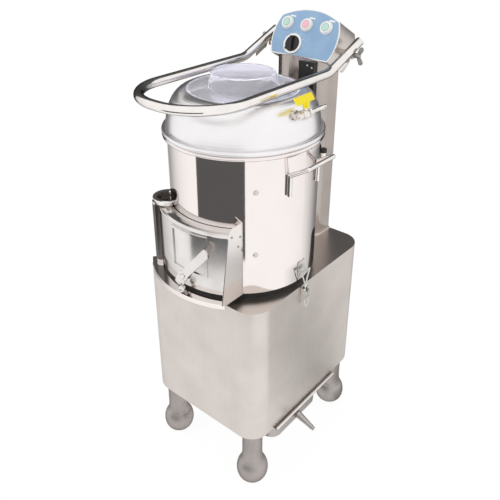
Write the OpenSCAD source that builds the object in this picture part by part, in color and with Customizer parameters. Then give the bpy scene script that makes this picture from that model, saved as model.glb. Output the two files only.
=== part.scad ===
// Floor-standing electric potato peeler: polished drum on a brushed cabinet, with a control box on a rear column.
// Millimetres, +Z up. The discharge door faces -Y and the column stands at +Y.

/* [Cabinet] */
// Width of the cabinet beyond the drum on each side
cab_side = 7; // [4:1:27]
// Depth of the cabinet ahead of the drum's wall
cab_ahead = 2; // [0:1:50]
// Depth of the cabinet behind the drum's wall
cab_behind = 122; // [118:1:170]
// Height of the cabinet's underside above the floor
cab_z0 = 210; // [190:1:260]
// Height of the cabinet box
cab_h = 455; // [420:1:520]
// Radius of the upright corners
cab_r = 62; // [40:1:80]
// Thickness of the cabinet sheet
sheet = 2; // [1:0.5:3]
// Radius of the foot's bulb
foot_r = 49; // [40:1:54]
// Radius of the foot's neck
foot_neck_r = 31; // [24:1:38]
// Inset of the feet from the cabinet's sides
foot_inset = 52; // [50:1:70]

/* [Drum] */
// Outer radius of the drum
drum_r = 208; // [195:1:235]
// Thickness of the drum wall
drum_t = 1.5; // [1:0.5:3]
// Height of the seat ring under the drum
seat_h = 20; // [12:1:30]
// Height of the drum wall
drum_h = 401; // [360:1:440]
// Radius of the rolled rim's section
rim_bead_r = 5.5; // [4.5:0.5:7]
// Thickness of the grit liner
liner_t = 5; // [3:0.5:7]
// Distance from the grit liner's top to the drum's top
liner_drop = 56; // [40:1:120]
// Thickness of the peeling disc
disc_t = 7; // [5:0.5:10]
// Gap between the disc's edge and the liner
disc_gap = 6; // [4:0.5:12]
// Height of the disc's waves
wave_h = 12; // [6:1:18]
// Radius of the main shaft
shaft_r = 15; // [12:0.5:18]

/* [Discharge] */
// Distance of the door's outer face from the drum's wall
door_gap = 35; // [29:1:40]
// Thickness of the door casting
door_t = 5; // [4:0.5:6]
// Height of the door's face
door_h = 180; // [165:1:195]
// Radius of the hinge barrel
barrel_r = 16.5; // [14:0.5:19]
// Bore radius of the hinge barrel
barrel_bore_r = 10; // [7:0.5:11]
// Half width between the drum axis and the cheek plate
cheek_x = 130; // [120:1:136]
// Reach of the discharge ledge out from the drum's wall
ledge_out = 64; // [54:1:77]
// Length of the door lever's bar
lever_len = 148; // [110:1:150]
// Width of the door lever's bar
lever_w = 25; // [16:1:28]
// Outer radius of the collar over the hinge
collar_r = 42; // [38:1:44]

/* [Lid] */
// Distance of the dome's foot outside the drum's wall
dome_step = 2; // [1:1:5]
// Radius of the opening at the dome's top
dome_r1 = 153; // [140:1:165]
// Height of the metal dome
dome_h = 103; // [80:1:104]
// Thickness of the dome sheet
dome_t = 1.5; // [1:0.5:3]
// Radius of the raised cap at its foot
cap_r0 = 96; // [80:1:110]
// Radius of the raised cap at its top
cap_r1 = 86; // [70:1:100]
// Height of the raised cap
cap_h = 42; // [25:1:60]
// Thickness of the clear window
window_t = 3; // [2:0.5:4]

/* [Guard loop] */
// Radius of the guard tube
tube_r = 12.5; // [10:0.5:13]
// Half distance between the guard's arms
guard_x = 147; // [140:1:160]
// Height of the guard's level part above the dome's edge
guard_over = 23.2; // [20:0.2:32]
// Reach of the guard ahead of the drum's wall
guard_ahead = 98; // [62:1:132]
// Bend radius of the guard's front corners
guard_bend_r = 138; // [80:1:139]
// Slope of the guard's arms towards the pivots
guard_slope = 21.5; // [18:0.5:24]

/* [Column and control box] */
// Half width of the column
col_a = 86.6; // [70:0.2:92]
// Gap between the drum's wall and the column's front
col_gap = 22; // [21:1:32]
// Backward tilt of the control panel
box_tilt = 28.1; // [24:0.1:32]
// Depth of the control box
box_depth = 97; // [80:1:110]
// Height of the panel's lower edge above the guard's level part
box_over = 8; // [4:1:20]
// Distance of the panel's lower edge behind the drum's wall
box_gap = 39; // [36:1:47]
// Height of the panel up its slope
panel_h = 140; // [134:1:150]
// Radius of the panel's bowed sides
panel_side_r = 132; // [128:1:150]
// Half width of the panel at its widest
panel_half_w = 112; // [110:1:116]
// Distance between the push buttons
button_pitch = 67; // [60:1:70]
// Outer radius of the button bezels
bezel_r = 20; // [17:0.5:22]
// Travel of the push buttons
button_travel = 4; // [3:0.5:5]
// Radius of the timer knob
knob_r = 23; // [20:0.5:25]
// Radius of the timer's dial ring
dial_r = 30; // [28:0.5:32]

/* [Handles and latches] */
// Radius of the drum handle's rod
rod_r = 6; // [4:0.5:7]
// Reach of the drum handle out from the drum's wall
handle_out = 47; // [40:1:57]
// Half length of the drum handle's grip
grip_half = 55; // [50:1:62]
// Half width of the latch bail
bail_half = 19; // [15:0.5:22]
// Radius of the latch wire
wire_r = 2.4; // [1.8:0.1:3]

/* [Peel drawer] */
// How much shorter the drawer pan is than the cabinet is wide
pan_short = 50; // [45:1:90]
// Depth of the drawer pan along the machine
pan_w = 240; // [200:1:242]
// Height of the drawer pan
pan_h = 55; // [45:1:62]
// Corner radius of the drawer pan
pan_r = 36; // [30:1:46]
// Sheet thickness of the drawer pan
pan_t = 1.5; // [1:0.5:3]
// Length of the drawer handle
pull_len = 60; // [45:1:75]

/* [Drive] */
// Radius of the disc's pulley
pulley_r = 100; // [80:1:110]
// Radius of the motor's pulley
motor_pulley_r = 36; // [28:1:45]
// Distance of the motor's axis from the cabinet's back
motor_back = 140; // [125:1:150]
// Radius of the motor
motor_r = 70; // [60:1:78]

/* [Hidden] */
$fn = 64;
eps = 0.01;
fit = 0.3;              // gap between pieces that touch but aren't joined
run = 0.05;             // running clearance of a shaft in its bore
cab_x = drum_r + cab_side;
cab_front = drum_r + cab_ahead;
cab_back = drum_r + cab_behind;
cab_top = cab_z0 + cab_h;
base_t = 3;
drum_z0 = cab_top + seat_h;
drum_z1 = drum_z0 + drum_h;
floor_z = drum_z0;
floor_t = 3;
liner_rise = 15;
liner_z0 = drum_z0 + liner_rise;
liner_h = drum_h - liner_rise - liner_drop;
liner_r1 = drum_r - drum_t - fit / 3;
liner_r0 = liner_r1 - liner_t;
disc_z = liner_z0 + 1;
disc_r = liner_r0 - disc_gap;
seat_r1 = drum_r - 8;
seat_r0 = seat_r1 - 14;
bolt_angles = [-41.5, 83.5, 211];

// discharge chute and door
ledge_z = drum_z0 + 5;
ledge_t = 4;
door_r = drum_r + door_gap;
ledge_r = drum_r + ledge_out;
door_z0 = ledge_z + 10;
door_z1 = door_z0 + door_h;
hinge_ang = -130;
hinge_rad = door_r + 1;
hinge_x = hinge_rad * cos(hinge_ang);
hinge_y = hinge_rad * sin(hinge_ang);
barrel_z0 = ledge_z + 4;
barrel_z1 = door_z1 + 6;
collar_z = barrel_z1 + fit;
collar_rad = hinge_rad - 27;
collar_ang = hinge_ang + 3;
gate_z0 = ledge_z + 14;
gate_z1 = door_z1 - 14;
gate_a0 = hinge_ang + 6;
gate_margin = 5.7;
gate_a1 = -acos(cheek_x / drum_r) - gate_margin;
cheek_t = 3;
hood_r = drum_r + 2;
lever_ang = 49.5;
lever_x = -4;
lever_z = ledge_z + 41;
lever_t = 4;
lever_pin = 5;
face_a0 = hinge_ang + 6.6;
cheek_z = door_z1 + 24;
cheek_back = sqrt(drum_r * drum_r - cheek_x * cheek_x) + fit;
cheek_door = sqrt(door_r * door_r - cheek_x * cheek_x);
cheek_foot = sqrt(ledge_r * ledge_r - cheek_x * cheek_x) + 6;
lever_y = -(door_r + 7);
ball_r = 11;

// rim and lid
rim_r = drum_r + rim_bead_r + 1.5;
rim_z = drum_z1 - rim_bead_r;
rim_t = 3;
lid_bead_r = 6.5;
lid_z = drum_z1 + lid_bead_r + fit;
dome_r0 = drum_r + dome_step;
flange_z = lid_z - 2.8;
lid_foot_r = drum_r - drum_t - 0.5;
gasket_r = rim_r - lid_bead_r - fit / 3;
dome_z0 = lid_z + 3;
dome_z1 = dome_z0 + dome_h;
dome_steps = 15;
seat_lip = 8;
seat_z = dome_z1 - window_t;
window_r = dome_r1 - dome_t - fit;
cap_z0 = seat_z + fit + window_t;
cap_z1 = cap_z0 + cap_h;

// water valve on the lid's right side
valve_x = dome_r0 - 1;
valve_drop = 28;
valve_z = dome_z1 - valve_drop;
valve_y = -34;
valve_r = 10;
barb_r = 6;
barb_len = 62;
valve_stem_y = -13;
valve_stem_z = valve_z + 17;

// control box and guard loop: both lie behind the drum and follow the dome's height
box_y = drum_r + box_gap;
guard_front = drum_r + guard_ahead;
guard_z = dome_z1 + guard_over;
box_z = guard_z + box_over;
pivot_y = box_y + 57;
pivot_up = 26;          // of the pivots above the guard's level part
pivot_z = guard_z + pivot_up;
guard_rise_y = pivot_y - 139;
guard_end_y = pivot_y + 28;
rise_r = 80;
pivot_bolt_r = 4;
boss_r = 11;
box_side_x = panel_half_w - 12;
screw_x0 = guard_x - 20;
tab_t = 4;
tab_r = 12;

// column outline: half an ellipse in front, straight sides to the cabinet's back
col_b = 46;
col_front = drum_r + col_gap;
col_mid = col_front + col_b;
col_steps = 24;
col_t = 2;

// control box
box_t = 2;
panel_t = 2.5;
trim_w = 3;
panel_top_r = 210;
button_x0 = -4;
button_up = panel_h - 46;
knob_x = -32;
knob_up = 35;
neck_r = 11;
button_r = 11;
bezel_h = 9.5;
knob_shaft_r = 4;

// safety switch on the column's front
switch_x0 = 14; // right of the column's middle
switch_x1 = switch_x0 + 53;
switch_z1 = box_z - 3;
switch_z0 = switch_z1 - 107;
switch_y = col_front - 1;

// capped pipe stub on the column's right side
stub_x = col_a + 10.4;
stub_y = col_front + 25;
stub_z = drum_z1 - 128;

// drum handles
handle_ang = 17;
handle_reach = drum_r + handle_out;
handle_drop = 64;
handle_z = drum_z1 - handle_drop;
handle_rise = 28;
leg_len = 57;
leg_rad = drum_r + rod_r + fit / 2;

// latches
latch_x = cab_x + 9;
latch_pz = cab_top - 10;
latch_e = 14;
bail_top = drum_z0 + 31;
lever_pin_r = 2;
latch_half = 11;

// drawer
pan_top = cab_z0 - base_t - 2.5;
pan_len = 2 * cab_x - pan_short;
pan_x1 = cab_x - 2;
pan_x0 = pan_x1 - pan_len;
pan_y0 = foot_inset - cab_front + foot_neck_r + 9;
pan_y1 = pan_y0 + pan_w;
pan_wing = 5;
lip_y0 = pan_y0 + 2;
lip_y1 = pan_y1 + 79;
lip_out = 11;
lip_t = 2;
pull_z = pan_top - 40;
pull_y = 8;
pull_drop = 21;
pull_r0 = 12;
pull_r1 = 6.3;
strainer_z = pan_top - 22;
strip_w = 12;
lift_gap = 20; // between the strainer's rear edge and the wall, for lifting it out
seam = 0.05; // between the drawer's walls and its floor sheet

// drive
belt_centres = cab_back - motor_back;
pulley_z = cab_top - 145;
pulley_h = 25;
groove_d = 11;
belt_w = 8;
belt_t = 7;
motor_h = 190;
motor_end = 16;         // height of the motor's narrower ends
motor_shaft_r = 9;
motor_shaft_in = 45;    // how far the motor's shaft reaches below its pulley
motor_box_w = 52;
motor_box_h = 70;
housing_r = 35.5;
mount_t = 5;
mount_rim = 2;          // how far the motor's plate reaches past the motor
hanger_x = motor_r + 26;
hanger_r = 6;

// drain
drain_x = 88 - drum_r;
drain_y = 90;
drain_r = 22;

// service cover and mains gland at the back
cover_w = 250;
cover_rise = 100;
cover_drop = 65;
cover_h = cab_h - cover_rise - cover_drop;
cover_z0 = cab_z0 + cover_rise;
cover_rim = 16;
gland_x = cab_x - 65;
gland_z = cab_z0 + 60;
gland_r = 8;
wire_hole_r = 13;

// the outermost points, which centre the machine's footprint on the origin
reach_right = pan_x1 + 12 + pull_len * cos(pull_drop) + pull_r1 * sin(pull_drop);
reach_left = handle_reach + rod_r;
reach_front = guard_front + tube_r;
reach_back = box_y + box_depth * cos(box_tilt) + panel_h * sin(box_tilt);
shift_x = -(reach_right - reach_left) / 2;
shift_y = -(reach_back - reach_front) / 2;

// Shapes that several pieces share

// rectangle with round corners, from its low corner to its high corner
module round_rect(x0, y0, x1, y1, r) {
    translate([x0 + r, y0]) square([x1 - x0 - 2 * r, y1 - y0]);
    translate([x0, y0 + r]) square([x1 - x0, y1 - y0 - 2 * r]);
    for (x = [x0 + r, x1 - r], y = [y0 + r, y1 - r]) translate([x, y]) circle(r);
}

// sector of a ring round the drum axis, from a profile in radius and height
module sweep(a0, a1) {
    rotate([0, 0, a0]) rotate_extrude(angle = a1 - a0) children();
}

// straight round bar between two points
module bar(p, q, r) {
    v = q - p;
    translate(p) rotate([0, acos(v[2] / norm(v)), atan2(v[1], v[0])]) cylinder(h = norm(v), r = r);
}

// ball where two bars of one radius meet, a hair thicker so that the skins cross cleanly
module elbow(p, r) {
    translate(p) sphere(r + 0.03, $fn = 32);
}

module tube(r1, r0, z0, z1) {
    translate([0, 0, z0]) difference() {
        cylinder(h = z1 - z0, r = r1);
        translate([0, 0, -1]) cylinder(h = z1 - z0 + 2, r = r0);
    }
}

// frame of the tilted control panel: X across, Y into the box, Z up the slope
module tilted() {
    translate([0, box_y, box_z]) rotate([-box_tilt, 0, 0]) children();
}

// place on the panel's outer face, with Z pointing out of it
module on_panel(x, up) {
    tilted() translate([x, -panel_t - fit, up]) rotate([90, 0, 0]) children();
}

module panel_outline(inset) {
    intersection() {
        for_side(1) circle(panel_side_r - inset);
        for_side(-1) circle(panel_side_r - inset);
        translate([0, panel_h - panel_top_r]) circle(panel_top_r - inset);
        translate([-panel_side_r, inset]) square(2 * panel_side_r);
    }
}

module for_side(s) {
    translate([s * (panel_half_w - panel_side_r), 0.41 * panel_h]) children();
}

module panel_prism(y0, y1, inset) {
    translate([0, y1, 0]) rotate([90, 0, 0]) linear_extrude(y1 - y0) panel_outline(inset);
}

module column_outline(grow) {
    front = [for (i = [0:col_steps]) let (t = 180 + 180 * i / col_steps)
        [(col_a + grow) * cos(t), col_mid + (col_b + grow) * sin(t)]];
    polygon(concat(front, [[col_a + grow, cab_back + grow], [-col_a - grow, cab_back + grow]]));
}

// everything above the control box's underside
module above_box(gap) {
    tilted() translate([-2 * panel_side_r, -2 * panel_side_r, -gap]) cube(5 * panel_side_r);
}

module gate_room(grow) {
    sweep(gate_a0 - grow, gate_a1 + grow) translate([drum_r - 20, gate_z0]) square([40, gate_z1 - gate_z0]);
}

// Cabinet

module cabinet_shell() color("#b8b0aa") difference() {
    translate([0, 0, cab_z0]) linear_extrude(cab_h) round_rect(-cab_x, -cab_front, cab_x, cab_back, cab_r);
    translate([0, 0, cab_z0 - 1]) linear_extrude(cab_h - sheet + 1)
        round_rect(sheet - cab_x, sheet - cab_front, cab_x - sheet, cab_back - sheet, cab_r - sheet);
    translate([0, 0, cab_top - 2 * sheet]) cylinder(h = 4 * sheet, r = housing_r + fit);
    translate([drain_x, drain_y, cab_top - 2 * sheet]) cylinder(h = 4 * sheet, r = drain_r + fit);
    translate([0, col_mid, cab_top - 2 * sheet]) cylinder(h = 4 * sheet, r = wire_hole_r);
    translate([-cover_w / 2 + cover_rim, cab_back - 2 * sheet, cover_z0 + cover_rim])
        cube([cover_w - 2 * cover_rim, 4 * sheet, cover_h - 2 * cover_rim]);
    translate([gland_x, cab_back - 2 * sheet, gland_z]) rotate([-90, 0, 0]) cylinder(h = 4 * sheet, r = gland_r + fit);
}

module base_plate() color("#9c9792") translate([0, 0, cab_z0 - base_t]) difference() {
    linear_extrude(base_t) round_rect(1 - cab_x, 1 - cab_front, cab_x - 1, cab_back - 1, cab_r - 1);
    translate([drain_x, drain_y, -1]) cylinder(h = base_t + 2, r = drain_r + fit);
}

module foot() {
    flat = 22;
    bulb = [for (t = [-90:12:54]) [flat + (foot_r - flat) * cos(t), 42 + 42 * sin(t)]];
    neck = [[foot_neck_r + 2.6, 88], [foot_neck_r + 0.8, 100], [foot_neck_r, 116], [foot_neck_r, cab_z0 - base_t]];
    rotate_extrude() polygon(concat([[0, 0]], bulb, neck, [[0, cab_z0 - base_t]]));
}

module feet() color("#aca6a1")
    for (x = [foot_inset - cab_x, cab_x - foot_inset], y = [foot_inset - cab_front, cab_back - foot_inset + 5])
        translate([x, y, 0]) foot();

module seat_ring() color("#3b3937") tube(seat_r1, seat_r0, cab_top, drum_z0 - fit);

module service_cover() color("#b3aca6")
    translate([-cover_w / 2, cab_back + fit, cover_z0]) difference() {
        cube([cover_w, sheet, cover_h]);
        for (x = [40, cover_w - 110], z = [60:24:cover_h - 60]) translate([x, -1, z]) {
            cube([70, sheet + 2, 7]);
        }
    }

module dome_bolt() {
    rotate_extrude() polygon([[0, 0], [7, 0], [7, 1.5], [5.6, 3.4], [3.2, 4.6], [0, 5]]);
}

module dome_bolts() color("#c8c4c0") {
    for (a = bolt_angles, z = [drum_z0 + 121, drum_z0 + 302])
        rotate([0, 0, a]) translate([drum_r + 0.15, 0, z]) rotate([0, 90, 0]) dome_bolt();
    for (x = [-1, 1], z = [0.5, 5.5, 10.5] * cover_h / 11)
        translate([x * (cover_w / 2 - 8), cab_back + sheet + 1.5 * fit, cover_z0 + z]) rotate([-90, 0, 0]) dome_bolt();
}

module mains_gland() color("#262626") translate([gland_x, cab_back, gland_z]) rotate([-90, 0, 0]) difference() {
    union() {
        translate([0, 0, fit]) cylinder(h = 7, r = gland_r + 4, $fn = 6);
        translate([0, 0, 7]) cylinder(h = 9, r1 = gland_r + 2, r2 = gland_r - 2);
        translate([0, 0, -10]) cylinder(h = 12, r = gland_r);
        translate([0, 0, -8]) cylinder(h = 8 - sheet - fit, r = gland_r + 4, $fn = 6);
    }
    translate([0, 0, -20]) cylinder(h = 50, r = 4);
}

// Drum

module drum_shell() color("#dcdcdc") difference() {
    union() {
        translate([0, 0, drum_z0]) cylinder(h = drum_h, r = drum_r);
        rotate_extrude() {
            translate([rim_r, rim_z]) circle(rim_bead_r);
            translate([drum_r - 1, drum_z1 - rim_t]) square([rim_r - drum_r + 1, rim_t]);
        }
    }
    translate([0, 0, drum_z0 - 1]) cylinder(h = drum_h + 2, r = drum_r - drum_t);
    gate_room(0);
}

module drum_floor() color("#c2c0bd") translate([0, 0, floor_z]) difference() {
    cylinder(h = floor_t, r = drum_r - drum_t - fit / 3);
    translate([0, 0, -1]) cylinder(h = floor_t + 2, r = housing_r + fit);
    translate([drain_x, drain_y, -1]) cylinder(h = floor_t + 2, r = drain_r - sheet);
}

module grit_liner() color("#6a6660") difference() {
    tube(liner_r1, liner_r0, liner_z0, liner_z0 + liner_h);
    gate_room(0.3);
}

module drain_pipe() color("#5a5c5e") translate([drain_x, drain_y, 0])
    tube(drain_r, drain_r - sheet, cab_z0 - base_t - 1.5, floor_z - fit);

module drum_handle() {
    for (s = [-1, 1]) {
        foot = [leg_rad * cos(handle_ang), s * leg_rad * sin(handle_ang), handle_z - leg_len];
        top = foot + [0, 0, leg_len];
        grip = [handle_reach, s * grip_half, handle_z + handle_rise];
        bar(foot, top, rod_r);
        elbow(top, rod_r);
        bar(top, grip, rod_r);
        elbow(grip, rod_r);
    }
    bar([handle_reach, -grip_half, handle_z + handle_rise], [handle_reach, grip_half, handle_z + handle_rise], rod_r);
}

module drum_handle_right() color("#d5d3d0") drum_handle();

module drum_handle_left() color("#d5d3d0") mirror([1, 0, 0]) drum_handle();

// Discharge chute and door

module chute_cheek() color("#d9d7d4") translate([cheek_x, 0, 0]) rotate([90, 0, 90]) linear_extrude(cheek_t)
    polygon([[-cheek_back, ledge_z + fit], [-cheek_back, cheek_z], [6 - cheek_door, cheek_z],
        [-cheek_door - 6, cheek_z - 12], [-cheek_door - 12, cheek_z - 26], [-cheek_foot, ledge_z + fit]]);

module chute_ledge() color("#e2e1df") difference() {
    sweep(hinge_ang - 5, -45) {
        translate([drum_r + fit, ledge_z - ledge_t]) square([ledge_r - drum_r - fit, ledge_t]);
        translate([ledge_r - 3, ledge_z - 14]) square([3, 14]);
    }
    translate([cheek_x + cheek_t, -ledge_r - 1, ledge_z - 30]) cube([ledge_r, ledge_r + 1, 60]);
}

// pin between the ledge and the open collar on the drum's wall
module hinge_pin() color("#8f8d8a") {
    translate([hinge_x, hinge_y, ledge_z + fit]) {
        cylinder(h = barrel_z0 - ledge_z - 2 * fit, r = barrel_r);
        cylinder(h = collar_z - ledge_z - fit + 1, r = barrel_bore_r - run);
    }
    difference() {
        rotate([0, 0, collar_ang]) translate([collar_rad, 0, collar_z]) rotate_extrude() polygon([[0, 0],
            [collar_r - 8, 0], [collar_r - 5, 2], [collar_r - 2, 9], [collar_r, 15], [collar_r - 0.6, 17.5],
            [collar_r - 3, 18.5], [collar_r - 12, 17.5], [collar_r - 17, 15], [collar_r - 19, 10],
            [collar_r - 20, 3], [0, 3]]);
        translate([0, 0, collar_z - 1]) cylinder(h = 30, r = drum_r + fit);
    }
}

module door_panel() color("#cfcfcf") difference() {
    union() {
        sweep(face_a0, -45) {
            translate([door_r - door_t, door_z0]) square([door_t, door_h]);
            translate([door_r - 14, door_z0]) square([14, 4]);
            polygon([[hood_r, door_z1 + 6], [hood_r, door_z1 + 2], [door_r - door_t - 6, door_z1 - 3],
                [door_r - door_t, door_z1 - 8], [door_r, door_z1 - 6], [door_r + 1.5, door_z1 - 3],
                [door_r, door_z1], [door_r - 5, door_z1 + 3], [door_r - 12, door_z1 + 5], [door_r - 20, door_z1 + 6]]);
        }
        sweep(hinge_ang + 3, face_a0 + 1)
            translate([door_r - door_t + 0.3, door_z0 + 1]) square([door_t - 0.6, door_h - 9]);
        translate([hinge_x, hinge_y, barrel_z0]) cylinder(h = barrel_z1 - barrel_z0, r = barrel_r);
        intersection() {
            tube(door_r - 1, hood_r, door_z0 + 1, door_z1 + 1);
            translate([cheek_x - 7, -door_r, door_z0]) cube([7, door_r, door_h + 5]);
        }
        // raised frame on the face
        difference() {
            sweep(-102, -73) translate([door_r - 1, door_z0 + 46]) square([4.5, door_h - 57]);
            sweep(-100.5, -74.5) translate([door_r - 2, door_z0 + 52]) square([7, door_h - 69]);
        }
        translate([lever_x, -door_r + 3, lever_z]) rotate([90, 0, 0]) cylinder(h = -lever_y - door_r + 3 - fit, r = 11);
        translate([lever_x, -door_r, lever_z]) rotate([90, 0, 0]) cylinder(h = lever_t + 8, r = lever_pin);
        translate([lever_x, lever_y - lever_t - fit, lever_z]) rotate([90, 0, 0]) cylinder(h = 4, r1 = 8, r2 = 6);
    }
    translate([cheek_x - 1, -door_r - 10, door_z0 - 1]) cube([door_r, door_r, door_h + 20]);
    translate([hinge_x, hinge_y, barrel_z0 - 1]) cylinder(h = barrel_z1 - barrel_z0 + 2, r = barrel_bore_r);
}

module door_seal() color("#202020") {
    sweep(face_a0 + 1, gate_a1 - 5) translate([door_r - 12, ledge_z + fit]) square([9, door_z0 - ledge_z - 2 * fit]);
    sweep(face_a0 + 1, gate_a1 + 3) translate([drum_r + 0.4, door_z1 + 2.2]) square([hood_r - drum_r - 0.6, 3.4]);
}

module door_lever() color("#d8d2ce") translate([lever_x, lever_y, lever_z]) difference() {
    union() {
        rotate([90, 0, 0]) linear_extrude(lever_t) {
            rotate(lever_ang) polygon([[-38, -8], [-30, -lever_w / 2], [lever_len - 12, -lever_w / 2],
                [lever_len - 5, -lever_w / 2 + 7], [lever_len - 5, lever_w / 2 - 3], [lever_len - 8, lever_w / 2],
                [-22, lever_w / 2], [-38, 6]]);
            circle(16);
        }
        bar([5, -3, -12], [10, -lever_t - 13, -27.5], 3);
        translate([10, -lever_t - 13, -27.5]) sphere(ball_r);
    }
    rotate([90, 0, 0]) translate([0, 0, -1]) cylinder(h = lever_t + 2, r = lever_pin + run);
}

// Lid and water valve

function dome_point(t, inset) = [dome_r1 + (dome_r0 - dome_r1 - inset) * cos(t), dome_z0 + (dome_h - inset) * sin(t)];

module lid_dome() color("#e4e4e6") difference() {
    rotate_extrude() {
        translate([rim_r, lid_z]) circle(lid_bead_r);
        translate([lid_foot_r, flange_z]) square([rim_r - lid_foot_r, 1.5]);
        translate([dome_r0 - dome_t, flange_z]) square([dome_t, dome_z0 - flange_z + eps]);
        polygon(concat([for (i = [0:dome_steps]) dome_point(90 * i / dome_steps, 0)],
            [for (i = [dome_steps:-1:0]) dome_point(90 * i / dome_steps, dome_t)]));
        translate([dome_r1 - dome_t, seat_z - dome_t]) square([dome_t + eps, dome_z1 - seat_z + dome_t]);
        translate([dome_r1 - seat_lip, seat_z - dome_t]) square([seat_lip, dome_t]);
    }
    translate([0, valve_y, valve_z]) rotate([0, 90, 0]) cylinder(h = dome_r0 + 40, r = valve_r - 2 + fit);
}

module lid_window() color([0.82, 0.84, 0.9, 0.5]) rotate_extrude() polygon([
    [0, cap_z1 - 5], [cap_r1 - 26, cap_z1 - 2], [cap_r1 - 8, cap_z1], [cap_r1 - 3, cap_z1 - 0.6],
    [cap_r1, cap_z1 - 3.5], [cap_r1 + 2, cap_z1 - 12], [cap_r0 - 1.5, cap_z0 + 6], [cap_r0 + 3, cap_z0 + 1.5],
    [cap_r0 + 12, cap_z0], [window_r, cap_z0], [window_r, cap_z0 - window_t], [cap_r0 + 10, cap_z0 - window_t],
    [cap_r0 + 1, cap_z0 + 1.5 - window_t], [cap_r0 - 4, cap_z0 + 5 - window_t], [cap_r1 - 1, cap_z1 - 13],
    [cap_r1 - 3.5, cap_z1 - 1.5 - window_t], [cap_r1 - 9, cap_z1 - window_t], [cap_r1 - 26, cap_z1 - 2 - window_t],
    [0, cap_z1 - 5 - window_t]]);

module lid_gasket() color("#2a2a2a") tube(gasket_r, lid_foot_r + 0.5, drum_z1 + fit, flange_z - 0.1);

module water_valve() color("#d6d3cc") difference() {
    union() {
        translate([valve_x - 34, valve_y, valve_z]) rotate([0, 90, 0]) cylinder(h = 34, r = valve_r - 2);
        translate([valve_x - 13, valve_y, valve_z]) rotate([0, 90, 0]) cylinder(h = 8, r = valve_r + 3, $fn = 6);
        translate([valve_x, valve_y, valve_z]) sphere(valve_r);
        translate([valve_x, valve_y, valve_z]) rotate([-90, 0, 0]) cylinder(h = 44, r = valve_r - 1);
        translate([valve_x, valve_stem_y, valve_z]) sphere(valve_r + 3);
        for (y = [valve_stem_y - 16, valve_stem_y + 10])
            translate([valve_x, y, valve_z]) rotate([-90, 0, 0]) cylinder(h = 8, r = valve_r + 3, $fn = 6);
        translate([valve_x, valve_stem_y, valve_z]) cylinder(h = valve_stem_z - valve_z, r = 6.5);
        translate([valve_x, valve_stem_y, valve_z]) cylinder(h = valve_stem_z - valve_z + 11, r = 3);
        translate([valve_x, valve_y + 44, valve_z]) rotate([-90, 0, 0]) {
            cylinder(h = barb_len, r = barb_r);
            translate([0, 0, barb_len - 7]) cylinder(h = 7, r1 = barb_r + 1, r2 = barb_r);
            cylinder(h = 5, r = barb_r + 2);
        }
    }
    translate([valve_x, valve_y + 40, valve_z]) rotate([-90, 0, 0]) cylinder(h = barb_len + 10, r = barb_r - 2);
}

module valve_lever() color("#f2e21a") translate([valve_x, valve_stem_y, valve_stem_z + fit]) difference() {
    union() {
        cylinder(h = 9, r = 8);
        translate([6, -16, 26]) rotate([0, -38, 0]) translate([-2, -35, -10]) cube([4, 70, 20]);
        translate([-4.5, -5, 7]) cube([13, 10, 18]);
    }
    translate([0, 0, -1]) cylinder(h = 12, r = 3 + run);
}

// Guard loop

// heights here are above the guard's level part
rise_end = [guard_rise_y + rise_r * sin(guard_slope), rise_r * (1 - cos(guard_slope))];
function arm_z(y) = rise_end[1] + (y - rise_end[0]) * tan(guard_slope);

module guard_path(r, short) {
    front_x = guard_x - guard_bend_r;
    front_y = guard_bend_r - guard_front;
    bar([-front_x, -guard_front, 0], [front_x, -guard_front, 0], r);
    for (s = [0, 1]) mirror([s, 0, 0]) {
        translate([front_x, front_y, 0]) rotate([0, 0, -90]) rotate_extrude(angle = 90)
            translate([guard_bend_r, 0]) circle(r);
        bar([guard_x, front_y, 0], [guard_x, guard_rise_y, 0], r);
        translate([guard_x, guard_rise_y, rise_r]) rotate([0, 90, 0]) rotate_extrude(angle = guard_slope)
            translate([rise_r, 0]) circle(r);
        elbow([guard_x, rise_end[0], rise_end[1]], r);
        bar([guard_x, rise_end[0], rise_end[1]], [guard_x, guard_end_y - short, arm_z(guard_end_y - short)], r);
    }
}

module guard_tab() {
    translate([guard_x - tab_t / 2, 0, 0]) rotate([90, 0, 90]) linear_extrude(tab_t) difference() {
        union() {
            translate([pivot_y, pivot_up]) circle(tab_r);
            polygon([[pivot_y - tab_r, pivot_up], [pivot_y + tab_r, pivot_up], [pivot_y + tab_r, arm_z(pivot_y)],
                [pivot_y - tab_r, arm_z(pivot_y) - 8]]);
            polygon([[pivot_y - 73, pivot_up - 34], [pivot_y - 21, pivot_up - 12],
                [pivot_y - 21, arm_z(pivot_y - 21) - 5], [pivot_y - 73, arm_z(pivot_y - 73) - 5]]);
        }
        translate([pivot_y, pivot_up]) circle(pivot_bolt_r + run);
    }
}

module guard_loop() color("#cfccc9") translate([0, 0, guard_z]) difference() {
    union() {
        guard_path(tube_r, 0);
        guard_tab();
        mirror([1, 0, 0]) guard_tab();
    }
    guard_path(tube_r - 1.5, 2);
}

module guard_bosses() color("#b5b0ab") difference() {
    for (s = [0, 1]) mirror([s, 0, 0]) translate([box_side_x, pivot_y, pivot_z]) rotate([0, 90, 0]) {
        cylinder(h = guard_x - tube_r - 2 - box_side_x, r = boss_r);
        cylinder(h = guard_x - tab_t / 2 - fit - box_side_x, r = boss_r - 3);
    }
    tilted() panel_prism(-1, box_depth + 1, -0.1);
    for (s = [0, 1]) mirror([s, 0, 0]) translate([screw_x0 - 4, pivot_y, pivot_z]) rotate([0, 90, 0])
        cylinder(h = 40, r = pivot_bolt_r + run);
}

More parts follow.
